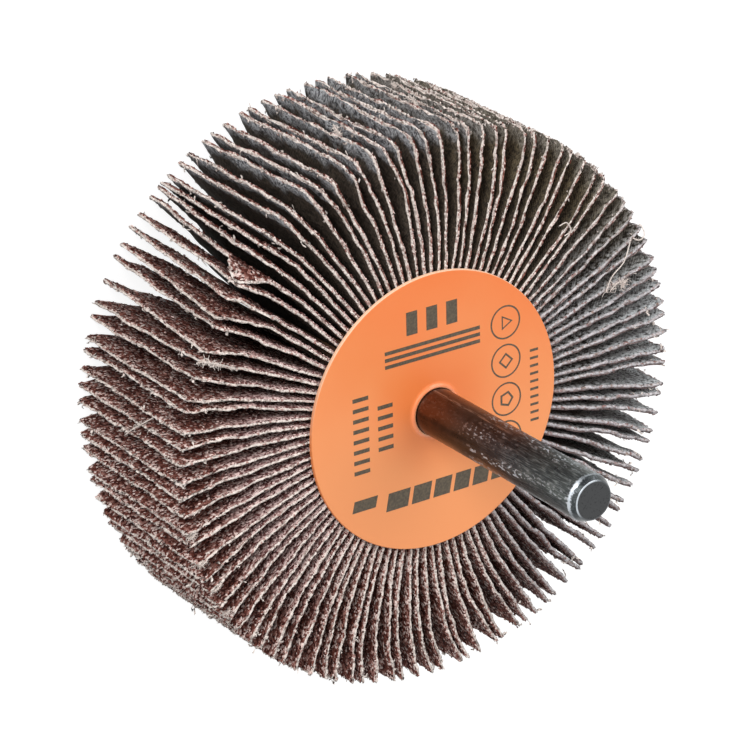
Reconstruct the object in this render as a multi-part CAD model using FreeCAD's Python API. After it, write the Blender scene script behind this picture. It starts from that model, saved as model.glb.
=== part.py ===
import FreeCAD, Part

import math
import os

# Mounted flap wheel, in millimetres and degrees. The origin is the centre of the back plane.
# +Z runs along the shank to its free end, and +X is where the first flap is rooted.

# Driving dimensions
wheel_diameter = 76.2
wheel_width = 25.4

flap_count = 108
flaps_in_a_node = 2
flap_thickness = 0.7
flap_root_depth = 3.0
flap_corner_cut = 0.6
blade_stretches = 5

# How far each flap's tip drifts round the wheel from its root, as an angle at the centre.
# The drift sways once and twice round the wheel, and each flap strays a little by itself.
lean_mean = 3.0
lean_first_sway = 1.4
lean_first_sway_at = 340.0
lean_second_sway = 3.1
lean_second_sway_at = 22.0
lean_stray = 0.55
lean_even_share = 0.5
bow_stray = 0.45
stray_step = 137.5

core_diameter = 36.0
core_back_recess = 1.2

label_diameter = 38.1
label_thickness = 0.5
label_lip_width = 0.55
label_lip_height = 0.3
label_lip_slope = 0.3
label_hole_clearance = 0.05

shank_diameter = 6.35
shank_reach = 34.0
shank_taper_length = 1.1
shank_taper_depth = 0.5
shank_neck_depth = 0.2
knurl_ridges = 14
knurl_depth = 0.3

# Sizes that follow
wheel_radius = wheel_diameter / 2
core_radius = core_diameter / 2
label_radius = label_diameter / 2
shank_radius = shank_diameter / 2
flap_root_radius = core_radius - flap_root_depth
flap_pitch = 360.0 / flap_count
core_height = wheel_width - core_back_recess
label_top = wheel_width + label_thickness
label_lip_top = label_top + label_lip_height
shank_top = label_top + shank_reach
shank_taper_foot = shank_top - shank_taper_length

up = FreeCAD.Vector(0, 0, 1)
centre = FreeCAD.Vector(0, 0, 0)


def save(name, shape):
    shape.exportStep("parts/" + name + ".step")


def polar(radius, angle):
    turn = math.radians(angle)
    return FreeCAD.Vector(radius * math.cos(turn), radius * math.sin(turn), 0)


def lift(shape, height):
    shape.translate(up * height)
    return shape


# Shank: a steel rod with a straight knurl where the core grips it, a shallow neck in the label's
# hole where the knurl runs out, and a short taper turned on its free end
def knurl_outline():
    corners = []
    for ridge in range(knurl_ridges):
        angle = 360.0 * ridge / knurl_ridges
        corners.append(polar(shank_radius, angle))
        corners.append(polar(shank_radius - knurl_depth, angle + 180.0 / knurl_ridges))
    return Part.makePolygon(corners + corners[:1])


def make_shank():
    knurl = lift(Part.Face(knurl_outline()).extrude(up * core_height), core_back_recess)
    neck_length = label_lip_top - wheel_width
    neck = lift(Part.makeCylinder(shank_radius - shank_neck_depth, neck_length), wheel_width)
    rod = lift(Part.makeCylinder(shank_radius, shank_taper_foot - label_lip_top), label_lip_top)
    face_radius = shank_radius - shank_taper_depth
    taper = lift(Part.makeCone(shank_radius, face_radius, shank_taper_length), shank_taper_foot)
    return rod.fuse([taper, neck, knurl])


# Flap: a strip of coated cloth on edge, with a straight root in the core and a blade that bends
# a little to one side as it goes outwards
def flap_lean(number):
    angle = math.radians(number * flap_pitch)
    first = lean_first_sway * math.cos(angle - math.radians(lean_first_sway_at))
    second = lean_second_sway * math.cos(2 * (angle - math.radians(lean_second_sway_at)))
    return lean_mean + first + second + lean_stray * math.sin(math.radians(stray_step * number))


def flap_centre_line(number):
    lean = flap_lean(number)
    bow = bow_stray * math.cos(math.radians(stray_step * number))
    line = [polar(flap_root_radius, 0), polar(core_radius, 0)]
    for stretch in range(1, blade_stretches + 1):
        way = stretch / blade_stretches
        drift = lean * way * (lean_even_share + (1 - lean_even_share) * way)
        radius = core_radius + (wheel_radius - core_radius) * way
        line.append(polar(radius, drift + bow * math.sin(math.pi * way)))
    return line


def flap_profile(number):
    line = flap_centre_line(number)
    root, foot, tip = line[0], line[1], line[-1]
    ways = [foot - root, foot - root]
    ways += [after - before for before, after in zip(line[1:], line[3:])]
    ways.append(tip - line[-2])
    offsets = [up.cross(way.normalize()) * (flap_thickness / 2) for way in ways]
    grain_side = [point - offset for point, offset in zip(line, offsets)]
    cloth_side = [point + offset for point, offset in zip(line, offsets)]
    return Part.Face(Part.makePolygon(grain_side + cloth_side[::-1] + grain_side[:1]))


def is_tip_corner(edge):
    level = edge.BoundBox.ZLength < flap_thickness
    reach = math.hypot(edge.CenterOfMass.x, edge.CenterOfMass.y)
    return level and reach > wheel_radius - flap_thickness


def make_flap(number):
    flap = flap_profile(number).extrude(up * wheel_width)
    flap = flap.makeChamfer(flap_corner_cut, [edge for edge in flap.Edges if is_tip_corner(edge)])
    flap.rotate(centre, up, number * flap_pitch)
    return flap


# Core: resin cast round the flap roots and the knurled shank, flush at the front and recessed
# at the back
def core_outline():
    half_slot = math.degrees(math.asin(flap_thickness / 2 / core_radius))
    corners = []
    for number in range(flap_count):
        angle = number * flap_pitch
        floor = polar(flap_root_radius, angle)
        across = polar(flap_thickness / 2, angle + 90)
        corners.append(polar(core_radius, angle - half_slot))
        corners.append(floor - across)
        corners.append(floor + across)
        corners.append(polar(core_radius, angle + half_slot))
    return Part.makePolygon(corners + corners[:1])


def make_core(shank):
    blank = Part.Face(core_outline()).extrude(up * core_height)
    return lift(blank, core_back_recess).cut(shank)


# Label: a thin printed disc on the core's front face, with a low lip round the shank
def make_label():
    hole = shank_radius + label_hole_clearance
    lip_foot = hole + label_lip_width
    lip_crest = lip_foot - label_lip_slope
    profile = Part.makePolygon([
        FreeCAD.Vector(hole, 0, wheel_width),
        FreeCAD.Vector(label_radius, 0, wheel_width),
        FreeCAD.Vector(label_radius, 0, label_top),
        FreeCAD.Vector(lip_foot, 0, label_top),
        FreeCAD.Vector(lip_crest, 0, label_lip_top),
        FreeCAD.Vector(hole, 0, label_lip_top),
        FreeCAD.Vector(hole, 0, wheel_width),
    ])
    return Part.Face(profile).revolve(centre, up, 360)


os.makedirs("parts", exist_ok=True)

shank = make_shank()
save("shank", shank)
save("core", make_core(shank))
save("label", make_label())
for first in range(0, flap_count, flaps_in_a_node):
    last = min(first + flaps_in_a_node, flap_count)
    group = Part.makeCompound([make_flap(number) for number in range(first, last)])
    save("flap_pair_%02d" % (first // flaps_in_a_node + 1), group)
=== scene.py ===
import math

import bmesh
import bpy
from mathutils import Matrix, Vector


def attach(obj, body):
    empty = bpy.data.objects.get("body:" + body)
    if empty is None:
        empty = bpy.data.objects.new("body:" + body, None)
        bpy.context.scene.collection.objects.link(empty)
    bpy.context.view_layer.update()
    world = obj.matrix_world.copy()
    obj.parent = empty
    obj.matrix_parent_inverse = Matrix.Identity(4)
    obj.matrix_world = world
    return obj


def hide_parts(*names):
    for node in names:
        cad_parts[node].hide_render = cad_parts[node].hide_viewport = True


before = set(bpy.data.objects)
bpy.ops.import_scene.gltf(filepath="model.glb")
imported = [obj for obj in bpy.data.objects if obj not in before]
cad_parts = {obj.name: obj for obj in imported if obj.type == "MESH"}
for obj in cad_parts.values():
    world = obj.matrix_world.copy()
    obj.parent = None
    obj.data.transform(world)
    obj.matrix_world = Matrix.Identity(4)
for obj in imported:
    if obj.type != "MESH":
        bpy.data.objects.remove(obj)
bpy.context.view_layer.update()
scene = bpy.context.scene
scene.view_settings.view_transform = "Standard"

# Studio. The wheel lies on its back on a plain white floor, in soft light from large lamps. The
# camera looks down on the shank's side, and is rolled so that the shank points to the lower right.
camera_place = Vector((-0.176, -357.192, 435.948)) / 1000
camera_right = Vector((-0.49273, 0.66554, 0.56060))
camera_up = Vector((-0.87018, -0.37685, -0.31743))
camera_back = camera_right.cross(camera_up)
camera_data = bpy.data.cameras.new("camera")
camera_data.sensor_width = 36
camera_data.lens = 202.645
camera_data.clip_start = 0.01
camera_data.clip_end = 10
camera = bpy.data.objects.new("camera", camera_data)
camera.matrix_world = Matrix.Translation(camera_place) @ Matrix(
    (camera_right, camera_up, camera_back)
).transposed().to_4x4()
scene.collection.objects.link(camera)
scene.camera = camera


class Value:
    """A socket in a node tree. Arithmetic on it adds Math nodes, and add() puts in any other node."""

    def __init__(self, tree, socket=None):
        self.tree = tree
        self.socket = socket

    def add(self, kind, settings=None, sockets=None, result=None):
        node = self.tree.nodes.new(kind)
        for name, setting in (settings or {}).items():
            if name == "stops":
                while len(node.color_ramp.elements) < len(setting):
                    node.color_ramp.elements.new(1)
                for element, (position, colour) in zip(node.color_ramp.elements, setting):
                    element.position = position
                    element.color = colour
            else:
                setattr(node, name, setting)
        for name, given in (sockets or {}).items():
            socket = pick(node.inputs, name)
            for one in given if isinstance(given, list) else [given]:
                if isinstance(one, Value):
                    self.tree.links.new(one.socket, socket)
                else:
                    socket.default_value = one
        return Value(self.tree, pick(node.outputs, result)) if node.outputs else None

    def other(self, name):
        """Another output of the node that this value comes from."""
        return Value(self.tree, pick(self.socket.node.outputs, name))

    def maths(self, operation, *others):
        given = dict(enumerate((self,) + others))
        return self.add("ShaderNodeMath", {"operation": operation}, given)

    def __add__(self, other):
        return self.maths("ADD", other)

    def __radd__(self, other):
        return self.maths("ADD", other)

    def __sub__(self, other):
        return self.maths("SUBTRACT", other)

    def __rsub__(self, other):
        return (self * -1).maths("ADD", other)

    def __mul__(self, other):
        return self.maths("MULTIPLY", other)

    def __rmul__(self, other):
        return self.maths("MULTIPLY", other)

    def __truediv__(self, other):
        return self.maths("DIVIDE", other)

    def __pow__(self, other):
        return self.maths("POWER", other)

    def least(self, other):
        return self.maths("MINIMUM", other)

    def most(self, other):
        return self.maths("MAXIMUM", other)

    def rise(self, low, high):
        """0 at low and before it, 1 at high and past it, and a smooth step between them."""
        ends = {"Value": self, "From Min": low, "From Max": high}
        return self.add("ShaderNodeMapRange", {"interpolation_type": "SMOOTHSTEP"}, ends)

    def mix(self, first, second):
        """The first colour where this value is 0, the second where it is 1."""
        colours = {"Factor_Float": self, "A_Color": first, "B_Color": second}
        return self.add("ShaderNodeMix", {"data_type": "RGBA"}, colours, "Result_Color")


def pick(sockets, name):
    """A node's socket by its place in the row, its identifier or its name, or its first one in use."""
    if isinstance(name, int):
        return sockets[name]
    in_use = [socket for socket in sockets if socket.enabled]
    named = [socket for socket in in_use if name is None or socket.identifier == name]
    return (named or [socket for socket in in_use if socket.name == name])[0]


def tint(red, green, blue):
    """A colour as a screen shows it, 0 to 255, turned into the linear colour that nodes take."""
    parts = [part / 255 for part in (red, green, blue)]
    parts = [part / 12.92 if part <= 0.04045 else ((part + 0.055) / 1.055) ** 2.4 for part in parts]
    return (*parts, 1.0)


def material(name):
    """A new material with an empty tree, and the tree as a Value to add nodes to."""
    made = bpy.data.materials.new(name)
    made.use_nodes = True
    made.node_tree.nodes.clear()
    return made, Value(made.node_tree)


def surface(graph, sockets):
    """The finish itself: one Principled shader with these sockets, as the material's surface."""
    shader = graph.add("ShaderNodeBsdfPrincipled", sockets=sockets)
    graph.add("ShaderNodeOutputMaterial", sockets={"Surface": shader})


def looked_at(graph):
    """1 for what the camera sees, straight or in a mirror, and 0 for what only gives light."""
    ray = graph.add("ShaderNodeLightPath", result="Is Camera Ray")
    return ray.most(ray.other("Is Glossy Ray")).most(ray.other("Is Transmission Ray"))


ambient_light = 0.52
world = bpy.data.worlds.new("white_room")
scene.world = world
world.use_nodes = True
world.node_tree.nodes.clear()
graph = Value(world.node_tree)
seen = looked_at(graph)
room = graph.add(
    "ShaderNodeBackground",
    sockets={"Color": tint(255, 255, 255), "Strength": ambient_light + seen * (1 - ambient_light)},
)
graph.add("ShaderNodeOutputWorld", sockets={"Surface": room})

floor_colour = tint(150, 150, 150)
floor_glow = 0.88
white_floor, graph = material("white_floor")
seen = looked_at(graph)
paper = graph.add("ShaderNodeBsdfDiffuse", sockets={"Color": floor_colour})
glow = graph.add("ShaderNodeEmission", sockets={"Strength": seen * floor_glow})
both = graph.add("ShaderNodeAddShader", sockets={0: paper, 1: glow})
graph.add("ShaderNodeOutputMaterial", sockets={"Surface": both})
floor_half = 1.5
floor_data = bpy.data.meshes.new("floor")
corners = [(x * floor_half, y * floor_half, 0) for x, y in ((-1, -1), (1, -1), (1, 1), (-1, 1))]
floor_data.from_pydata(corners, [], [(0, 1, 2, 3)])
floor_data.materials.append(white_floor)
floor = bpy.data.objects.new("floor", floor_data)
scene.collection.objects.link(floor)


def lamp(name, right, up, back, size, power):
    """A square lamp placed from the wheel in the camera's own directions, in metres, and aimed at it."""
    data = bpy.data.lights.new(name, "AREA")
    data.size = size
    data.energy = power
    place = camera_right * right + camera_up * up + camera_back * back
    made = bpy.data.objects.new(name, data)
    made.matrix_world = Matrix.Translation(place) @ place.to_track_quat("Z", "Y").to_matrix().to_4x4()
    scene.collection.objects.link(made)


lamp("key_lamp", -0.2, 0.25, 0.65, 0.3, 3.0)
lamp("left_lamp", -0.6, -0.05, 0.3, 0.3, 0.9)
lamp("right_lamp", 0.55, 0.2, 0.4, 0.6, 1.6)
lamp("rim_lamp", 0.45, 0.5, 0.15, 0.4, 0.65)

# Core. A disc of hard resin, cast round the flap roots and the knurled stretch of the shank. It
# fills the wheel's middle, flush at the front and a little recessed at the back.
resin_brown = tint(112, 78, 52)
resin_dark = tint(70, 46, 32)
resin, graph = material("cast_resin")
spot = graph.add("ShaderNodeTexCoord", result="Object")
clouds = graph.add("ShaderNodeTexNoise", sockets={"Vector": spot, "Scale": 180.0, "Detail": 4.0})
pores = graph.add("ShaderNodeTexVoronoi", sockets={"Vector": spot, "Scale": 900.0})
pits = pores.rise(0.05, 0.35)
bumps = graph.add(
    "ShaderNodeBump",
    sockets={"Strength": 0.5, "Distance": 0.0002, "Height": pits + clouds * 0.6},
)
surface(
    graph,
    {
        "Base Color": clouds.rise(0.35, 0.7).mix(resin_dark, resin_brown),
        "Roughness": 0.35 + clouds * 0.3,
        "Normal": bumps,
    },
)
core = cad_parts["core"]
for finish_slot in core.material_slots:
    finish_slot.link = "OBJECT"
    finish_slot.material = resin

# Shank. A turned steel rod: a straight knurl is rolled into its hidden half, which the resin
# grips, and its free end is tapered and faced. It is bare steel, dull and scuffed from handling.
shank_radius = 3.175
shank_neck_radius = 2.975
knurl_bottom = 1.2
knurl_top = 25.4
knurl_ridges = 14
knurl_depth = 0.3
neck_top = 26.2
shank_top = 59.9
taper_foot = 58.8
face_radius = 2.675
shank_edge = 0.06
side_loop = 1.0
face_loop = 0.3
steps_in_a_ridge = 10


def turned(name, rings, steps, finish):
    """A closed solid through rings of (height, radius at an angle), in millimetres, foot first."""
    mesh = bmesh.new()
    rows = []
    for height, radius in rings:
        angles = [2 * math.pi * step / steps for step in range(steps)]
        points = [(radius(a) * math.cos(a), radius(a) * math.sin(a), height) for a in angles]
        rows.append([mesh.verts.new(Vector(point) / 1000) for point in points])
    for below, above in zip(rows, rows[1:]):
        for step in range(steps):
            after = (step + 1) % steps
            mesh.faces.new((below[step], below[after], above[after], above[step]))
    for row, order in ((rows[0], -1), (rows[-1], 1)):
        middle = mesh.verts.new((0, 0, row[0].co.z))
        for step in range(steps):
            mesh.faces.new((middle, row[step], row[(step + 1) % steps])[::order])
    data = bpy.data.meshes.new(name)
    mesh.to_mesh(data)
    mesh.free()
    data.materials.append(finish)
    made = bpy.data.objects.new(name, data)
    scene.collection.objects.link(made)
    return made


def rod(radius):
    return lambda angle: radius


def knurl(angle):
    across = abs((angle * knurl_ridges / (2 * math.pi)) % 1 - 0.5) * 2
    return shank_radius - knurl_depth * (1 - across)


shank_rings = [
    (knurl_bottom, knurl),
    (knurl_top, knurl),
    (knurl_top, rod(shank_neck_radius)),
    (neck_top, rod(shank_neck_radius)),
    (neck_top, rod(shank_radius - shank_edge)),
    (neck_top + shank_edge, rod(shank_radius)),
    (neck_top + side_loop, rod(shank_radius)),
    (taper_foot - side_loop, rod(shank_radius)),
    (taper_foot - shank_edge, rod(shank_radius)),
    (taper_foot + shank_edge, rod(shank_radius - shank_edge / 2)),
    (shank_top - shank_edge, rod(face_radius)),
    (shank_top, rod(face_radius - shank_edge)),
    (shank_top, rod(face_radius - face_loop)),
]

# Painted reflection: a warm brown for the steel near the foot, where it mirrors the orange label
steel_label_reflection = tint(100, 80, 68)
steel_blue = tint(84, 88, 94)
steel_grey = tint(108, 115, 112)
steel_dark = tint(44, 47, 51)
steel_bright = tint(166, 174, 174)
steel_end = tint(76, 77, 78)
# Pale grey for the scuffs, and for the painted highlight line and rings
scuff_and_highlight_grey = tint(198, 204, 210)
# The angles round the shank of the painted highlight line, and of the side where the painted highlight
# rings are strongest
highlight_line_angle = math.radians(-133)
highlight_angle = math.radians(-75)
steel, graph = material("bare_steel")
spot = graph.add("ShaderNodeTexCoord", result="Object")
height = graph.add("ShaderNodeSeparateXYZ", sockets={"Vector": spot}, result="Z") * 1000
turn = height.add("ShaderNodeSeparateXYZ", sockets={"Vector": spot}, result="Y")
out = (turn * turn + turn.other("X") * turn.other("X")).maths("SQRT") * 1000
turn = turn.maths("ARCTAN2", turn.other("X"))
drawn = graph.add("ShaderNodeMapping", sockets={"Vector": spot, "Scale": (1.0, 1.0, 0.1)})
nicked = graph.add("ShaderNodeMapping", sockets={"Vector": spot, "Scale": (1.0, 1.0, 0.5)})
blotches = graph.add("ShaderNodeTexNoise", sockets={"Vector": spot, "Scale": 900.0, "Detail": 5.0})
bands = graph.add("ShaderNodeTexNoise", sockets={"Vector": drawn, "Scale": 520.0, "Detail": 2.0})
lines = graph.add("ShaderNodeTexNoise", sockets={"Vector": drawn, "Scale": 6000.0, "Detail": 3.0})
nicks = graph.add("ShaderNodeTexNoise", sockets={"Vector": nicked, "Scale": 3200.0, "Detail": 4.0})
outer_end = height.rise(36, 52)
rubbed = (height + bands * 6).rise(38, 42)
scuffs = nicks.rise(0.55, 0.62) * (0.08 + rubbed * 0.92) * bands.rise(0.4, 0.56)
stain = (height + blotches * 4).rise(34, 42) * (1 - lines.rise(0.42, 0.6))
# Painted highlight: a thin pale line along the shank's lower half, at one fixed angle round it
highlight_line = (1 - (turn - highlight_line_angle).maths("ABSOLUTE").rise(0.02, 0.1)) * (1 - height.rise(38, 48))
# Painted highlights and shade at the free end: pale rings at the chamfer's edges and round the end face,
# strongest on one side, and the chamfer darkened between them
highlight_side = 1 - (turn - highlight_angle).maths("ABSOLUTE").rise(0.5, 1.05)
tapered = height.rise(taper_foot - 0.05, taper_foot + 0.05)
corner = (1 - (height - taper_foot - 0.12).maths("ABSOLUTE").rise(0.06, 0.16)) * 0.3
corner = corner.most(
    (1 - (height + nicks * 0.8 - taper_foot - 0.54).maths("ABSOLUTE").rise(0.12, 0.32)) * highlight_side
)
wide_highlight_side = 1 - (turn - highlight_angle + 0.2).maths("ABSOLUTE").rise(0.8, 1.5)
rim_highlights = height.rise(shank_top - 0.08, shank_top - 0.05) * out.rise(face_radius - 0.24, face_radius - 0.16)
rim_highlights = (rim_highlights * (0.12 + wide_highlight_side * 0.88)).most(corner)
faced = height.rise(shank_top - 0.04, shank_top - 0.01)
# Painted reflection: the steel is warm brown near the foot, where it mirrors the orange label; further up
# it turns bluish, and lighter grey towards the outer end
base = height.rise(29, 38).mix(steel_label_reflection, steel_blue)
base = height.rise(42, 53).mix(base, steel_grey)
base = ((bands * 0.75 + blotches * 0.25).rise(0.36, 0.62) * 0.75 + 0.25).mix(steel_dark, base)
# Lighter streaks towards the outer end
base = (outer_end * lines.rise(0.45, 0.75) * 0.45).mix(base, steel_bright)
base = (stain * 0.25).mix(base, steel_dark)
# The painted highlight line, then the scuffs
base = (highlight_line * lines.rise(0.38, 0.56) * 0.4).mix(base, scuff_and_highlight_grey)
base = (scuffs * 0.8).mix(base, scuff_and_highlight_grey)
# Painted shade on the chamfer, then the painted highlight rings round the end and the end face's own grey
base = (tapered * 0.7).mix(base, steel_dark)
base = (rim_highlights * 0.95).mix(faced.mix(base, steel_end), scuff_and_highlight_grey)
bumps = graph.add(
    "ShaderNodeBump",
    sockets={"Strength": 0.25, "Distance": 0.00005, "Height": lines + blotches - scuffs},
)
surface(
    graph,
    {
        "Base Color": base,
        "Metallic": 1.0,
        "Roughness": 0.2 + blotches * 0.2 + scuffs * 0.3 + faced * 0.25,
        "Normal": bumps,
    },
)
shank = turned("steel_shank", shank_rings, knurl_ridges * steps_in_a_ridge, steel)
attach(shank, "root")
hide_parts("shank")

# Flaps. Strips of woven cloth with a coat of brown abrasive grain on one side, cut to length and
# stood on edge round the hub. Their cut edges are pale and frayed, the grain stands out ragged, and
# one flap's front corner is bent over.
flap_count = 108
flaps_in_a_piece = 2
flap_sizes = {
    "Number": 0,
    "Seed": 7,
    "Width": 25.4,
    "Grain Side": -0.24,
    "Cloth Side": 0.26,
    "Root Radius": 15.0,
    "Core Radius": 18.0,
    "Tip Radius": 38.1,
    "Corner": 0.4,
    "Worn Corner": 1.4,
    "Edge Inset": 0.2,
    "Edge Radius": 0.155,
    "Edge Steps": 220,
    "Grains": 520,
    "Grain Radius": 0.14,
    "Grain Band": 6.5,
    "Threads": 24,
    "Thread Length": 0.75,
    "Thread Radius": 0.055,
}
# How far a flap's tip drifts round the wheel, in degrees, with its sways, strays and ripples
lean_mean = 3.0
lean_first_sway = 1.4
lean_first_sway_at = math.radians(340)
lean_second_sway = 3.1
lean_second_sway_at = math.radians(22)
lean_stray = 0.55
lean_even_share = 0.5
bow_stray = 0.45
stray_step = math.radians(137.5)
ripple = 1.2
twist = 1.2
# How far a flap waves and dents out of its own plane, how far each point strays along it and, as a
# share, across it, the lowest height of a point, and how far fluff may stand above the front
wave = 0.9
dent = 0.3
length_stray = 0.6
width_stray = 0.012
least_height = 0.02
fluff_height = 0.3
# The middle of each stretch of the wheel where the flaps are worn, cut clean, frayed or gritty
worn_corner_angle = math.radians(212)
clean_edge_angle = math.radians(182)
frayed_angle = math.radians(112)
gritty_angle = math.radians(320)
# Where the flaps' backs are turned aside, by how many degrees and with what share as a bow, and
# the one flap whose front corner is bent over, by its number
turned_angle = math.radians(268)
turned_back = 3.0
turned_bow = 0.35
bent_flap = 79
bent_shift = 1.3
bent_length = 4.6
bent_slope = 0.5

grain_dark = tint(50, 17, 13)
grain_maroon = tint(110, 58, 47)
grain_rose = tint(172, 125, 115)
grain_spark = tint(242, 216, 208)
cloth_olive = tint(122, 110, 86)
# The umber and deep cloth colours are painted shade deep among the flaps, and the pale grey after the
# slate is painted light
cloth_olive_shade = tint(88, 78, 64)
cloth_deep_shade = tint(96, 86, 75)
cloth_slate = tint(112, 118, 125)
cloth_lit_grey = tint(168, 174, 171)
cloth_shade = tint(38, 34, 30)
cloth_fray = tint(234, 238, 242)
edge_pale = tint(242, 230, 222)
edge_cool = tint(232, 234, 240)
edge_shade = tint(160, 137, 128)
edge_rose = tint(172, 122, 114)
edge_soiled = tint(112, 98, 98)
# Painted light: the dark and pale ends of the grain's colours where the grain near the front is lit paler
front_light_dark = tint(108, 66, 64)
front_light_pale = tint(226, 196, 192)
# The middle of each stretch of the wheel where the grain near the front is lit paler with painted light,
# where the cloth is olive, and where the cloth is frayed and fluffy and lit paler with painted light
front_light_angle = math.radians(300)
olive_angle = math.radians(178)
fluffy_angle = math.radians(112)

coated_cloth, graph = material("coated_cloth")
spot = graph.add("ShaderNodeTexCoord", result="Object")
flat = graph.add("ShaderNodeAttribute", {"attribute_name": "flat"}, result="Vector")
reach = graph.add("ShaderNodeSeparateXYZ", sockets={"Vector": flat}, result="X")
across, height = reach.other("Y"), reach.other("Z")
part = graph.add("ShaderNodeAttribute", {"attribute_name": "part"}, result="Fac")
shade = graph.add("ShaderNodeAttribute", {"attribute_name": "shade"}, result="Fac")
cells = graph.add("ShaderNodeTexVoronoi", sockets={"Vector": spot, "Scale": 2900.0}, result="Color")
cell = graph.add("ShaderNodeSeparateColor", sockets={"Color": cells}, result="Red")
lump = cells.other("Distance")
clouds = graph.add("ShaderNodeTexNoise", sockets={"Vector": spot, "Scale": 220.0, "Detail": 3.0})
fuzz = graph.add("ShaderNodeTexNoise", sockets={"Vector": spot, "Scale": 1900.0, "Detail": 3.0})
combed = graph.add("ShaderNodeCombineXYZ", sockets={"X": reach * 0.35 + shade * 50, "Y": height * 1.1})
fibres = graph.add("ShaderNodeTexNoise", sockets={"Vector": combed, "Scale": 1.0, "Detail": 3.0})
grain_stops = [(0.08, grain_dark), (0.45, grain_maroon), (0.72, grain_rose), (0.81, grain_spark)]
warp = (height * 12.6).maths("SINE")
weft = (reach * 12.6).maths("SINE")
weave = (warp * weft) * 0.5 + 0.5
from_front = flap_sizes["Width"] - height
from_tip = flap_sizes["Tip Radius"] - reach
from_edge = from_tip.least(from_front.least(height))
near_edge = 1 - from_edge.rise(0.1, 0.8)
lit_grain = cell * 0.84 + clouds * 0.3 + near_edge * 0.1 - reach.rise(20, 30) * 0.16 + 0.08
grain = graph.add("ShaderNodeValToRGB", {"stops": grain_stops}, {"Fac": lit_grain}, "Color")
level = graph.add("ShaderNodeVectorMath", {"operation": "MULTIPLY"}, {0: spot, 1: (1.0, 1.0, 0.0)})
facing = graph.add("ShaderNodeVectorMath", {"operation": "NORMALIZE"}, {0: level}, "Vector")
facing = graph.add("ShaderNodeSeparateXYZ", sockets={"Vector": facing}, result="X")
# Painted light: in one stretch of the wheel the grain near the front, not far out, is lit paler
front_light = facing * math.cos(front_light_angle) + facing.other("Y") * math.sin(front_light_angle)
front_light = front_light.rise(0.3, 0.9) * (1 - from_front.rise(0.4, 3.2)) * (1 - reach.rise(27, 35)) * 0.85
olive = facing * math.cos(olive_angle) + facing.other("Y") * math.sin(olive_angle)
olive = olive.rise(0.74, 0.95)
fluffy = facing * math.cos(fluffy_angle) + facing.other("Y") * math.sin(fluffy_angle)
fluffy = fluffy.rise(0.5, 0.85)
from_cut = from_tip - (1 - from_front.rise(0, 4)) * 1.2
streaks = fibres * 0.7 + fuzz * 0.3
covered = (from_cut + (fibres - 0.5) * 5) / (1.5 + shade * 2.2 + fluffy * 12)
frayed = (1 - covered.rise(0.25, 0.95)) * streaks.rise(0.44, 0.57) * (0.95 - olive * 0.75 - fluffy * 0.3)
frayed = frayed.most(fluffy * (1 - from_front.rise(0.4, 3.0)) * fuzz.rise(0.38, 0.6) * 0.55)
# Painted shade: the cloth darkens away from its cut edges, deep among the flaps; in the fluffy stretch it
# is a grey lit paler with painted light
cloth = covered.rise(0.2, 0.95).mix(fluffy.mix(cloth_slate, cloth_lit_grey), cloth_deep_shade)
# In the olive stretch, painted shade darkens the olive away from the cut edges
cloth = olive.mix(cloth, from_cut.rise(0, 12).mix(cloth_olive, cloth_olive_shade))
dark_threads = (fuzz * 0.5 + fibres * 0.5).rise(0.56, 0.42) * (0.72 + fluffy * 0.18)
cloth = (weave * 0.2 + dark_threads).mix(cloth, cloth_shade)
cloth = frayed.mix(cloth, cloth_fray)
edge = (fuzz.rise(0.3, 0.52) * (1 - fluffy * 0.4)).mix(edge_shade, fluffy.mix(edge_pale, edge_cool))
edge = (cell.rise(0.9, 0.94) * 0.8).mix(edge, edge_rose)
edge = (cell.rise(0.5, 0.8) * fluffy * 0.4).mix(edge, edge_soiled)
# Painted light on the grain in that stretch
front_lit_grain = front_light.mix(grain, (cell * 0.7 + fuzz * 0.3).rise(0.3, 0.68).mix(front_light_dark, front_light_pale))
front_lit_grain = (fluffy * (1 - from_front.rise(0.2, 0.9)) * 0.85).mix(front_lit_grain, edge_soiled)
base = across.rise(-0.1, -0.02).mix(front_lit_grain, edge)
base = across.rise(0.22, 0.25).mix(base, cloth)
base = part.rise(0.4, 0.6).mix(base, edge)
lit_shade = shade * 0.9 + near_edge * 0.05 - 0.06
grit = graph.add("ShaderNodeValToRGB", {"stops": grain_stops}, {"Fac": lit_shade}, "Color")
# Painted light on the crystals in that stretch too
grit = front_light.mix(grit, shade.rise(0.2, 0.9).mix(front_light_dark, front_light_pale))
grit = (fluffy * 0.85).mix(grit, edge_soiled)
base = part.rise(1.4, 1.6).mix(base, grit)
base = part.rise(2.4, 2.6).mix(base, edge_pale)
grainy = (1 - across.rise(-0.1, -0.02)) * (1 - part.rise(0.4, 0.6))
bumps = graph.add(
    "ShaderNodeBump",
    sockets={
        "Strength": 1.0,
        "Distance": 0.00025,
        "Height": grainy * (1 - lump) + (1 - grainy) * (weave * 0.3 + fuzz * 0.9),
    },
)
surface(
    graph,
    {
        "Base Color": base,
        "Roughness": 0.85 - grainy * cell.rise(0.7, 0.95) * 0.45,
        "Specular IOR Level": 0.2,
        "Normal": bumps,
    },
)


def new_tree(name, inputs):
    """A node group with inputs from a dict of starting values, None for a geometry input."""
    tree = bpy.data.node_groups.new(name, "GeometryNodeTree")
    for label, value in inputs.items():
        kind = {int: "Int", float: "Float", type(None): "Geometry"}[type(value)]
        made = tree.interface.new_socket(label, in_out="INPUT", socket_type="NodeSocket" + kind)
        if value is not None:
            made.default_value = value
    tree.interface.new_socket("Geometry", in_out="OUTPUT", socket_type="NodeSocketGeometry")
    return tree, Value(tree).add("NodeGroupInput")


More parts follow.
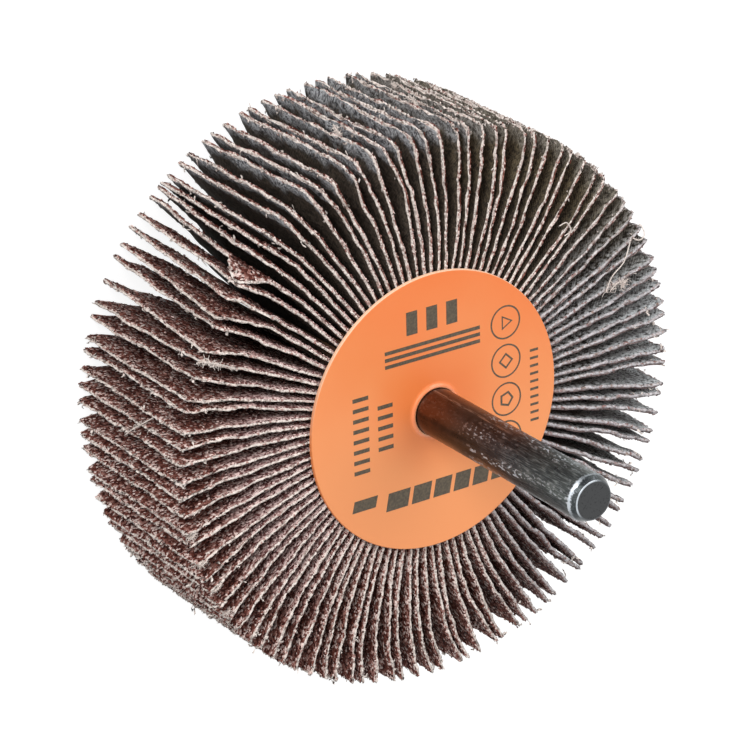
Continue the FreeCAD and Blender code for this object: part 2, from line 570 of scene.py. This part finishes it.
flap_tree, inlet = new_tree("flap", flap_sizes)
number, seed, width = inlet.other("Number"), inlet.other("Seed"), inlet.other("Width")
grain_side, cloth_side = inlet.other("Grain Side"), inlet.other("Cloth Side")
root_radius, core_radius = inlet.other("Root Radius"), inlet.other("Core Radius")
tip_radius, corner = inlet.other("Tip Radius"), inlet.other("Corner")
inset, edge_radius = inlet.other("Edge Inset"), inlet.other("Edge Radius")
turn = number * (2 * math.pi / flap_count)
worn = (turn - worn_corner_angle).maths("COSINE").rise(0.25, 0.85)
worn_corner = worn * (inlet.other("Worn Corner") - corner)
clean = (turn - clean_edge_angle).maths("COSINE").rise(0.45, 0.95)
frayed = (turn - frayed_angle).maths("COSINE").rise(0.5, 0.85)
gritty = (turn - gritty_angle).maths("COSINE").rise(0.6, 0.95)
blade = tip_radius - core_radius
around = blade * 2 + width
own_edge = number * 5.3


def vector(x, y, z):
    """Adds to the tree that inlet stands for at the time, as the next few functions do."""
    return inlet.add("ShaderNodeCombineXYZ", sockets={"X": x, "Y": y, "Z": z})


def chance(salt):
    """A random number from 0 to 1, its own for each point or instance and each salt."""
    sockets = {"Seed": number * 16 + seed + salt}
    return inlet.add("FunctionNodeRandomValue", {"data_type": "FLOAT"}, sockets)


def noise(x, y, z):
    """A smooth noise of about -0.5 to 0.5, with waves about 1 long."""
    sockets = {"Vector": vector(x, y, z), "Scale": 1.0, "Detail": 1.0}
    return inlet.add("ShaderNodeTexNoise", sockets=sockets, result="Fac") - 0.5


def place(geometry, x, y, z):
    """The geometry with each of its points moved to x, y and z."""
    sockets = {"Geometry": geometry, "Position": vector(x, y, z)}
    return inlet.add("GeometryNodeSetPosition", sockets=sockets)


def store(geometry, name, value, domain="POINT", kind="FLOAT"):
    """The geometry with a named value on it, which the material reads."""
    sockets = {"Geometry": geometry, "Name": name, "Value": value}
    settings = {"data_type": kind, "domain": domain}
    return inlet.add("GeometryNodeStoreNamedAttribute", settings, sockets)


def rounded(reach, height):
    """A point of the flat strip, moved so that the strip's two outer corners are round."""
    from_middle = height - width / 2
    at_corner = corner + worn_corner * from_middle.maths("GREATER_THAN", 0)
    past = (reach - tip_radius + at_corner).most(0)
    beyond = (from_middle.maths("ABSOLUTE") - width / 2 + at_corner).most(0)
    kept = past.most(beyond) / (past * past + beyond * beyond + 0.000001).maths("SQRT")
    pulled = beyond * (1 - kept) * from_middle.maths("SIGN")
    return reach - past * (1 - kept), height - pulled


def on_edge(travel, depth):
    """A point by its way along the front, outer and back edges and its depth inside them."""
    back = (travel - blade - width).most(0)
    reach = (core_radius + travel.least(blade) - back).least(tip_radius - depth)
    height = (width - (travel - blade).most(0)).most(depth).least(width - depth)
    return rounded(reach, height)


# The strip lies flat at first: x runs out from the hub, y through the cloth and z up the width.
here = inlet.add("GeometryNodeInputPosition")
x = inlet.add("ShaderNodeSeparateXYZ", sockets={"Vector": here}, result="X")
y, z = x.other("Y"), x.other("Z")

# The cloth itself, a little inside the cut edges
slab_steps = {"Vertices X": 20, "Vertices Y": 3, "Vertices Z": 18}
slab_reach, slab_width = tip_radius - inset - root_radius, width - inset * 2
slab_size = vector(slab_reach, cloth_side - grain_side, slab_width)
slab = inlet.add("GeometryNodeMeshCube", sockets={"Size": slab_size, **slab_steps}, result="Mesh")
slab_x, slab_z = rounded(x + slab_reach / 2 + root_radius, z + width / 2)
slab = place(slab, slab_x, y + (cloth_side + grain_side) / 2, slab_z)
slab = store(store(slab, "part", 0.0), "shade", chance(1))

# The cut edge, a ragged bead of threads along the front, outer and back edges
factor = inlet.add("GeometryNodeSplineParameter", result="Factor")
line = inlet.add("GeometryNodeCurvePrimitiveLine")
line = inlet.add("GeometryNodeResampleCurve", sockets={"Curve": line, "Count": inlet.other("Edge Steps")})
travel = factor * around
wear = 0.6 + 0.5 * travel.rise(0.0, 18.0) * (1 - (travel - blade - width).rise(2.0, 20.0))
wear = wear * (1 - clean * 0.45)
ragged = noise(travel * 1.9, own_edge, 0.0) * wear
jagged = noise(travel * 2.1, own_edge, 9.0) * wear
edge_x, edge_z = on_edge(travel, inset + ragged * 0.4)
line = place(line, edge_x, cloth_side - edge_radius + jagged * 0.3, edge_z)
profile = inlet.add(
    "GeometryNodeCurvePrimitiveCircle", sockets={"Resolution": 4, "Radius": edge_radius}
)
uneven = 1.2 - clean * 0.7 + gritty * 0.8
thick = 1 - clean * 0.2 + frayed * 0.5 + noise(travel * 2.7, own_edge, 21.0) * uneven
bead = inlet.add(
    "GeometryNodeCurveToMesh",
    sockets={"Curve": line, "Profile Curve": profile, "Scale": thick, "Fill Caps": True},
)
bead = inlet.add("GeometryNodeSetShadeSmooth", sockets={"Geometry": bead})
bead = store(store(bead, "part", 1.0), "shade", 0.5)


def scattered(count, travel, depth, across):
    """Loose points along the edges, at a depth inside them and a place across the cloth."""
    points = inlet.add("GeometryNodeMeshLine", sockets={"Count": count})
    x, z = on_edge(travel, depth)
    return place(points, x, across, z)


def planted(points, shape, size, part, salt):
    """The shape on each point, turned at random, with its part and a shade of its own stored."""
    turn = vector(chance(salt) * 6.3, chance(salt + 1) * 6.3, chance(salt + 2) * 6.3)
    sockets = {"Points": points, "Instance": shape, "Rotation": turn, "Scale": size}
    made = inlet.add("GeometryNodeInstanceOnPoints", sockets=sockets)
    made = store(made, "shade", chance(salt + 3), "INSTANCE")
    return store(inlet.add("GeometryNodeRealizeInstances", sockets={"Geometry": made}), "part", part)


# Grain crystals on the coated side near the edges, and a few on the cut edge
cut_depth = 0.2
coat_start = 0.32
on_cut = chance(2).maths("LESS_THAN", 0.1 - clean * 0.08 + gritty * 0.1)
on_coat = inlet.other("Grain Band") * chance(3) ** 1.4 + coat_start
grain_depth = on_cut * cut_depth + (1 - on_cut) * on_coat
grain_across = grain_side + on_cut * chance(4) * cut_depth
grit_points = scattered(inlet.other("Grains"), chance(5) * around, grain_depth, grain_across)
crystal = inlet.add(
    "GeometryNodeMeshUVSphere",
    sockets={"Segments": 4, "Rings": 2, "Radius": inlet.other("Grain Radius")},
    result="Mesh",
)
crystal_size = vector(chance(6) * 0.7 + 0.6, chance(7) * 0.7 + 0.6, chance(8) * 0.7 + 0.6)
grit = planted(grit_points, crystal, crystal_size, 2.0, 9)


def yarn(curve, sides, radius):
    """A closed tube along the curve."""
    sockets = {"Resolution": sides, "Radius": radius}
    round_profile = inlet.add("GeometryNodeCurvePrimitiveCircle", sockets=sockets)
    sockets = {"Curve": curve, "Profile Curve": round_profile, "Fill Caps": True}
    return inlet.add("GeometryNodeCurveToMesh", sockets=sockets)


def hair(length, radius):
    """A short curled hair that starts at the origin."""
    factor = inlet.add("GeometryNodeSplineParameter", result="Factor")
    line = inlet.add("GeometryNodeCurvePrimitiveLine")
    line = inlet.add("GeometryNodeResampleCurve", sockets={"Curve": line, "Count": 4})
    curl = (factor * 3.4).maths("SINE") * length * 0.25
    return yarn(place(line, factor * length, curl, factor * factor * length * 0.25), 3, radius)


# Wisps of loose thread, mostly on the outer edge
outer_travel = blade * 0.7 + chance(13) * (blade * 0.5 + width)
thread_depth, thread_across = 0.12 + chance(14) * 0.15, chance(15) * 0.22
thread_points = scattered(inlet.other("Threads"), outer_travel, thread_depth, thread_across)
thread_size = (0.4 + chance(12) ** 2) * (1 - clean * 0.4 + frayed * 0.3)
thread_size = vector(thread_size, thread_size, thread_size)
short_thread = hair(inlet.other("Thread Length"), inlet.other("Thread Radius"))
wisps = planted(thread_points, short_thread, thread_size, 3.0, 10)

# The whole strip is waved, leaned and turned to its own place in the wheel, and made metres.
strip = inlet.add("GeometryNodeJoinGeometry", sockets={"Geometry": [slab, bead, grit, wisps]})
strip = place(strip, x, y, z.most(least_height).least(width + fluff_height))
strip = store(strip, "flat", here, kind="FLOAT_VECTOR")
first_sway = (turn - lean_first_sway_at).maths("COSINE") * lean_first_sway
second_sway = ((turn - lean_second_sway_at) * 2).maths("COSINE") * lean_second_sway
stray = number * stray_step
lean = lean_mean + first_sway + second_sway + stray.maths("SINE") * lean_stray
bow = stray.maths("COSINE") * bow_stray
way = ((x - core_radius) / blade).most(0)
drift = lean * way * (lean_even_share + (1 - lean_even_share) * way)
drift = drift + bow * (way * math.pi).maths("SINE")
drift = drift + noise(x * 0.09, number * 7.7, z * 0.03) * ripple * 2 * way.rise(0.0, 0.6)
drift = drift + (z / width - 0.5) * noise(0.0, number * 3.1, 40.0) * twist * 2 * way
turned = (turn - turned_angle).maths("COSINE").rise(0.965, 0.997) * turned_back
bent = number.maths("COMPARE", bent_flap, 0.5)
drift = drift + ((z / width - 1) * turned - bent * bent_shift) * way
drift = drift - turned * turned_bow * (way * math.pi).maths("SINE")
angle = turn + drift * (math.pi / 180)
sway = noise(x * 0.3, number * 9.1, z * 0.2) * wave
dents = noise(x * 0.9, own_edge, z * 0.8) * dent
y = y + sway * way.rise(0.0, 0.7) + dents * way.rise(0.0, 0.3)
y = y + bent * (x - tip_radius + z - width + bent_length).most(0) * bent_slope
x = x + (chance(20) - 0.5) * length_stray * way
z = z * (1 - chance(21) * width_stray)
cosine, sine = angle.maths("COSINE"), angle.maths("SINE")
strip = place(strip, (x * cosine - y * sine) * 0.001, (x * sine + y * cosine) * 0.001, z * 0.001)
inlet.add("NodeGroupOutput", sockets={"Geometry": strip})

bunch_tree, inlet = new_tree("flap_bunch", {"First Flap": 0})
flaps = [
    inlet.add(
        "GeometryNodeGroup", {"node_tree": flap_tree}, {"Number": inlet.other("First Flap") + extra}
    )
    for extra in range(flaps_in_a_piece)
]
bunch = inlet.add("GeometryNodeJoinGeometry", sockets={"Geometry": flaps})
bunch = inlet.add("GeometryNodeRealizeInstances", sockets={"Geometry": bunch})
bunch = inlet.add("GeometryNodeSetMaterial", sockets={"Geometry": bunch, "Material": coated_cloth})
inlet.add("NodeGroupOutput", sockets={"Geometry": bunch})


def build(name, tree, inputs, start=None):
    """A new object with the tree on it as a modifier, its inputs set before it is evaluated."""
    made = bpy.data.objects.new(name, start or bpy.data.meshes.new(name))
    modifier = made.modifiers.new("build", "NODES")
    modifier.node_group = tree
    for label, value in inputs.items():
        modifier[tree.interface.items_tree[label].identifier] = value
    scene.collection.objects.link(made)
    return made


def settle(pieces):
    """Turns each piece's modifier result into its own plain mesh and takes the modifier off."""
    graph = bpy.context.evaluated_depsgraph_get()
    meshes = [bpy.data.meshes.new_from_object(piece.evaluated_get(graph)) for piece in pieces]
    for piece, mesh in zip(pieces, meshes):
        piece.modifiers.clear()
        piece.data = mesh


bunches = [
    build("flaps_%02d" % (first // flaps_in_a_piece + 1), bunch_tree, {"First Flap": first})
    for first in range(0, flap_count, flaps_in_a_piece)
]
settle(bunches)
for piece in bunches:
    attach(piece, "root")
    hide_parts(piece.name.replace("flaps", "flap_pair"))

# Loose threads. A few cotton threads that the knife pulled out of the cloth's cut edges. They lie
# over the edges that they come from, and fluff stands out of them where they are frayed.
thread_sizes = {
    "Threads": None,
    "Number": 200,
    "Seed": 7,
    "Steps": 24,
    "Hairs": 90,
    "Thickness": 0.075,
    "Hair Thickness": 0.045,
}
# A thread's points are a radius, an angle round the wheel in degrees, a height and the length of
# the fluff there.
threads = [
    [(35.6, 154.6, 25.4, 0.5), (34.7, 153.5, 25.7, 0.3), (33.1, 151.5, 25.9, 0.3),
     (31.0, 150.3, 25.8, 0.3), (29.9, 148.6, 25.7, 0.7), (29.3, 147.0, 25.6, 0.9)],
    [(30.0, 146.6, 25.6, 0.9), (31.2, 147.6, 25.8, 0.9), (32.2, 147.0, 25.8, 0.9),
     (31.6, 145.9, 25.7, 0.8), (33.0, 146.6, 25.6, 0.7)],
    [(37.9, 155.6, 25.0, 0.3), (37.8, 155.1, 25.7, 0.3), (37.4, 153.6, 25.9, 0.3),
     (36.6, 153.3, 25.7, 0.4), (36.0, 154.5, 25.5, 0.2)],
    [(28.9, 173.5, 25.5, 0.2), (29.8, 172.6, 25.8, 0.2), (29.4, 170.0, 25.8, 0.3),
     (28.4, 170.1, 25.5, 0.2)],
    [(37.9, 305.6, 11.5, 0.4), (38.2, 303.0, 13.9, 0.5), (38.15, 300.1, 16.7, 0.4),
     (37.9, 298.6, 18.0, 0.4)],
    [(32.8, 283.6, 25.5, 0.4), (34.5, 283.4, 25.7, 0.7), (36.2, 283.4, 25.7, 0.9),
     (37.6, 283.6, 25.5, 0.9), (37.9, 284.4, 24.6, 0.7)],
    [(37.0, 319.5, 25.3, 0.5), (37.7, 320.0, 25.3, 0.6), (37.9, 320.4, 24.4, 0.5)],
    [(36.6, 326.2, 25.4, 0.4), (37.5, 326.6, 25.4, 0.5), (37.9, 327.0, 24.6, 0.4)],
    [(36.2, 333.0, 25.4, 0.4), (37.3, 333.4, 25.4, 0.5), (37.9, 333.6, 24.8, 0.4)],
    [(37.2, 339.4, 25.4, 0.5), (37.8, 339.8, 25.1, 0.5), (37.9, 340.0, 24.0, 0.4)],
    [(37.8, 208.2, 11.8, 0.6), (38.0, 209.0, 13.4, 0.8), (37.8, 210.0, 15.0, 0.7)],
    [(37.8, 205.0, 5.2, 0.6), (38.0, 206.2, 6.9, 0.6)],
    [(37.8, 228.6, 14.6, 0.6), (38.0, 229.6, 16.2, 0.8), (37.8, 230.4, 18.0, 0.6)],
]
thread_tree, inlet = new_tree("loose_threads", thread_sizes)
number, seed = inlet.other("Number"), inlet.other("Seed")
paths = inlet.add("GeometryNodeMeshToCurve", sockets={"Mesh": inlet})
paths = inlet.add("GeometryNodeCurveSplineType", {"spline_type": "CATMULL_ROM"}, {"Curve": paths})
paths = inlet.add("GeometryNodeResampleCurve", sockets={"Curve": paths, "Count": inlet.other("Steps")})
strands = store(yarn(paths, 5, inlet.other("Thickness")), "part", 3.0)
roots = inlet.add("GeometryNodeCurveToPoints", sockets={"Curve": paths, "Count": inlet.other("Hairs")})
length = inlet.add("GeometryNodeInputNamedAttribute", sockets={"Name": "fluff"}, result="Attribute")
length = length * (0.4 + chance(16) * 0.8)
fluff = planted(roots, hair(1.0, inlet.other("Hair Thickness")), vector(length, length, length), 3.0, 17)
loose = inlet.add("GeometryNodeJoinGeometry", sockets={"Geometry": [strands, fluff]})
loose = inlet.add("GeometryNodeTransform", sockets={"Geometry": loose, "Scale": (0.001, 0.001, 0.001)})
loose = inlet.add("GeometryNodeRealizeInstances", sockets={"Geometry": loose})
loose = inlet.add("GeometryNodeSetMaterial", sockets={"Geometry": loose, "Material": coated_cloth})
inlet.add("NodeGroupOutput", sockets={"Geometry": loose})

points = [point for thread in threads for point in thread]
ends = {sum(map(len, threads[:count])) for count in range(1, len(threads) + 1)}
data = bpy.data.meshes.new("loose_threads")
data.from_pydata(
    [
        (r * math.cos(math.radians(angle)), r * math.sin(math.radians(angle)), height)
        for r, angle, height, length in points
    ],
    [(at - 1, at) for at in range(1, len(points)) if at not in ends],
    [],
)
data.attributes.new("fluff", "FLOAT", "POINT").data.foreach_set("value", [point[3] for point in points])
loose_threads = build("loose_threads", thread_tree, {}, data)
settle([loose_threads])
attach(loose_threads, "root")

# Label. A disc of thick card with a satin orange face, glued on the core's front, with its punched
# hole pushed up into a low lip round the shank's foot.
label_radius = 19.05
label_bottom = 25.4
label_top = 25.9
lip_top = 26.2
hole_radius = 3.225
lip_foot = 3.775
lip_crest = 3.475
edge_round = 0.12
flat_loop_radius = 12.0
# Where the painted shade round the shank's foot starts and fades out, in millimetres
foot_shade_start = 3.5
foot_shade_end = 12.5
label_steps = 160

label_orange = tint(250, 159, 99)
label_deep = tint(246, 127, 59)
label_side = tint(255, 222, 190)
label_rim = tint(226, 128, 70)
# The side of the label where the rim's painted highlight is
rim_highlight_angle = math.radians(232)
card, graph = material("orange_card")
spot = graph.add("ShaderNodeTexCoord", result="Object")
away = graph.add("ShaderNodeVectorMath", {"operation": "LENGTH"}, {"Vector": spot}, "Value")
clouds = graph.add("ShaderNodeTexNoise", sockets={"Vector": spot, "Scale": 60.0, "Detail": 3.0})
fibres = graph.add("ShaderNodeTexNoise", sockets={"Vector": spot, "Scale": 2500.0, "Detail": 3.0})
height = graph.add("ShaderNodeSeparateXYZ", sockets={"Vector": spot}, result="Z")
# Painted sheen: the orange turns paler towards one side of the label
sheen_gradient = height.add("ShaderNodeSeparateXYZ", sockets={"Vector": spot}, result="X")
sheen_gradient = sheen_gradient * 24 + sheen_gradient.other("Y") * 14
out = (away * away - height * height).maths("SQRT") * 1000
side = out.rise(label_radius - edge_round, label_radius - 0.02)
lip = 1 - out.rise(lip_crest + 0.125, lip_foot + 0.125)
torn = (1 - out.rise(lip_crest - 0.095, lip_crest - 0.015)) * clouds.rise(0.3, 0.6)
# Painted shade: a deeper orange round the shank's foot
foot_shade = (1 - out.rise(foot_shade_start, foot_shade_end)) * 0.3
facing = graph.add("ShaderNodeVectorMath", {"operation": "NORMALIZE"}, {0: spot}, "Vector")
facing = facing.add("ShaderNodeSeparateXYZ", sockets={"Vector": facing}, result="X")
# Painted highlight: the rounded rim is pale on one side and a darker orange elsewhere
rim_highlight = facing * math.cos(rim_highlight_angle) + facing.other("Y") * math.sin(rim_highlight_angle)
# The card's own blotches, with painted sheen paler to one side and painted shade round the shank's foot
base = (clouds * 0.6 + sheen_gradient + 0.2 - foot_shade).rise(-0.2, 0.75).mix(label_deep, label_orange)
base = (side * 0.8).mix(base, rim_highlight.rise(0.1, 0.55).mix(label_rim, label_side))
base = torn.mix(base, label_side)
bumps = graph.add(
    "ShaderNodeBump", sockets={"Strength": 0.15, "Distance": 0.00003, "Height": fibres}
)
surface(
    graph,
    {
        "Base Color": base,
        "Roughness": 0.36 + fibres * 0.12,
        "Coat Weight": lip,
        "Coat Roughness": 0.08,
        "Normal": bumps,
    },
)

label_outline = [
    (hole_radius, label_bottom),
    (label_radius, label_bottom),
    (label_radius, label_top - edge_round),
    (label_radius - edge_round * 0.3, label_top - edge_round * 0.3),
    (label_radius - edge_round, label_top),
    (flat_loop_radius, label_top),
    (lip_foot + 0.25, label_top),
    (lip_foot, label_top + 0.06),
    (lip_crest + 0.1, lip_top - 0.05),
    (lip_crest - 0.05, lip_top),
    (hole_radius + 0.06, lip_top - 0.02),
    (hole_radius, lip_top - 0.08),
]
mesh = bmesh.new()
rows = [
    [mesh.verts.new(Vector((r * math.cos(a), r * math.sin(a), h)) / 1000) for r, h in label_outline]
    for a in [2 * math.pi * step / label_steps for step in range(label_steps)]
]
for row, after in zip(rows, rows[1:] + rows[:1]):
    for corner_at in range(len(label_outline)):
        nearby = (corner_at + 1) % len(label_outline)
        mesh.faces.new((row[corner_at], after[corner_at], after[nearby], row[nearby]))
bmesh.ops.recalc_face_normals(mesh, faces=mesh.faces)
data = bpy.data.meshes.new("label_disc")
mesh.to_mesh(data)
mesh.free()
data.materials.append(card)
label = bpy.data.objects.new("label_disc", data)
scene.collection.objects.link(label)
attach(label, "root")
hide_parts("label")

# Print. Plain marks in dark brown ink on the label: blocks, bars and rings, with nothing to read.
# They are laid out across the label, whose printed lines run at an angle to the wheel's own axes.
print_angle = math.radians(128.2)
ink_height = 0.02
ink_depth = 0.01
label_ink = tint(72, 62, 48)
ink_worn = tint(98, 86, 68)
ink, graph = material("brown_ink")
spot = graph.add("ShaderNodeTexCoord", result="Object")
worn = graph.add("ShaderNodeTexNoise", sockets={"Vector": spot, "Scale": 3000.0, "Detail": 2.0})
surface(
    graph,
    {
        "Base Color": worn.rise(0.3, 0.75).mix(label_ink, ink_worn),
        "Roughness": 0.45 + worn * 0.15,
    },
)

# Each block is its left, right, lower and upper edge and its slant, in millimetres on the label.
blocks = [
    (-4.2, -2.5, 11.5, 14.7, 0.0), (-1.1, 0.6, 11.5, 14.7, 0.0), (2.0, 3.7, 11.5, 14.7, 0.0),
    (-7.6, 7.2, 9.6, 10.1, 0.0), (-7.6, 7.2, 8.65, 9.15, 0.0), (-7.6, 7.2, 7.7, 8.2, 0.0),
    (-8.0, -4.6, -12.2, -9.7, 0.5), (-4.0, -1.2, -12.2, -9.7, 0.5), (-0.6, 2.0, -12.2, -9.7, 0.5),
    (2.6, 5.0, -12.2, -9.7, 0.5), (5.6, 8.0, -12.2, -9.7, 0.5), (8.6, 10.6, -12.2, -9.7, 0.5),
    (-13.2, -9.6, -11.0, -9.4, 0.4),
]
# Each row of bars is its left and right edge, its two ends, and a bar's thickness and pitch.
for left, right, low, high, thickness, pitch in (
    (-12.7, -10.3, -5.8, 5.4, 0.55, 1.45),
    (-8.9, -6.6, -3.4, 4.0, 0.55, 1.45),
    (15.1, 16.4, -5.6, 5.4, 0.35, 1.1),
):
    at = low
    while at + thickness < high:
        blocks.append((left, right, at, at + thickness, 0.0))
        at += pitch
rings = [(11.25, 9.5), (11.25, 4.07), (11.25, -1.35), (11.25, -6.78)]
ring_radius = 2.35
ring_line = 0.22
ring_steps = 48
figure_radius = 1.15
figure_hole = 0.8
first_figure_corners = 3

mesh = bmesh.new()
along = Vector((math.cos(print_angle), math.sin(print_angle), 0)) / 1000
upward = Vector((-math.sin(print_angle), math.cos(print_angle), 0)) / 1000
ink_low = Vector((0, 0, label_top - ink_depth)) / 1000
ink_high = Vector((0, 0, label_top + ink_height)) / 1000


def plate(outline, hole=()):
    """A thin closed plate from a ring of points, with a hole of as many points or none."""
    loops = [
        [mesh.verts.new(along * u + upward * v + level) for u, v in points]
        for points in (outline, hole)
        for level in (ink_low, ink_high)
        if points
    ]
    count = len(outline)
    for step in range(count):
        after = (step + 1) % count
        mesh.faces.new((loops[0][step], loops[0][after], loops[1][after], loops[1][step]))
        if hole:
            mesh.faces.new((loops[2][step], loops[3][step], loops[3][after], loops[2][after]))
            mesh.faces.new((loops[1][step], loops[1][after], loops[3][after], loops[3][step]))
            mesh.faces.new((loops[0][step], loops[2][step], loops[2][after], loops[0][after]))
    if not hole:
        mesh.faces.new(loops[1])
        mesh.faces.new(loops[0][::-1])


def circle(u, v, radius, steps):
    turns = [2 * math.pi * step / steps for step in range(steps)]
    return [(u + radius * math.cos(turn), v + radius * math.sin(turn)) for turn in turns]


for left, right, low, high, slant in blocks:
    plate([(left, low), (right, low), (right + slant, high), (left + slant, high)])
for corners, (u, v) in enumerate(rings, first_figure_corners):
    plate(circle(u, v, ring_radius, ring_steps), circle(u, v, ring_radius - ring_line, ring_steps))
    plate(circle(u, v, figure_radius, corners), circle(u, v, figure_hole, corners))
data = bpy.data.meshes.new("label_print")
mesh.to_mesh(data)
mesh.free()
data.materials.append(ink)
marks = bpy.data.objects.new("label_print", data)
scene.collection.objects.link(marks)
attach(marks, "root")

bpy.context.view_layer.update()
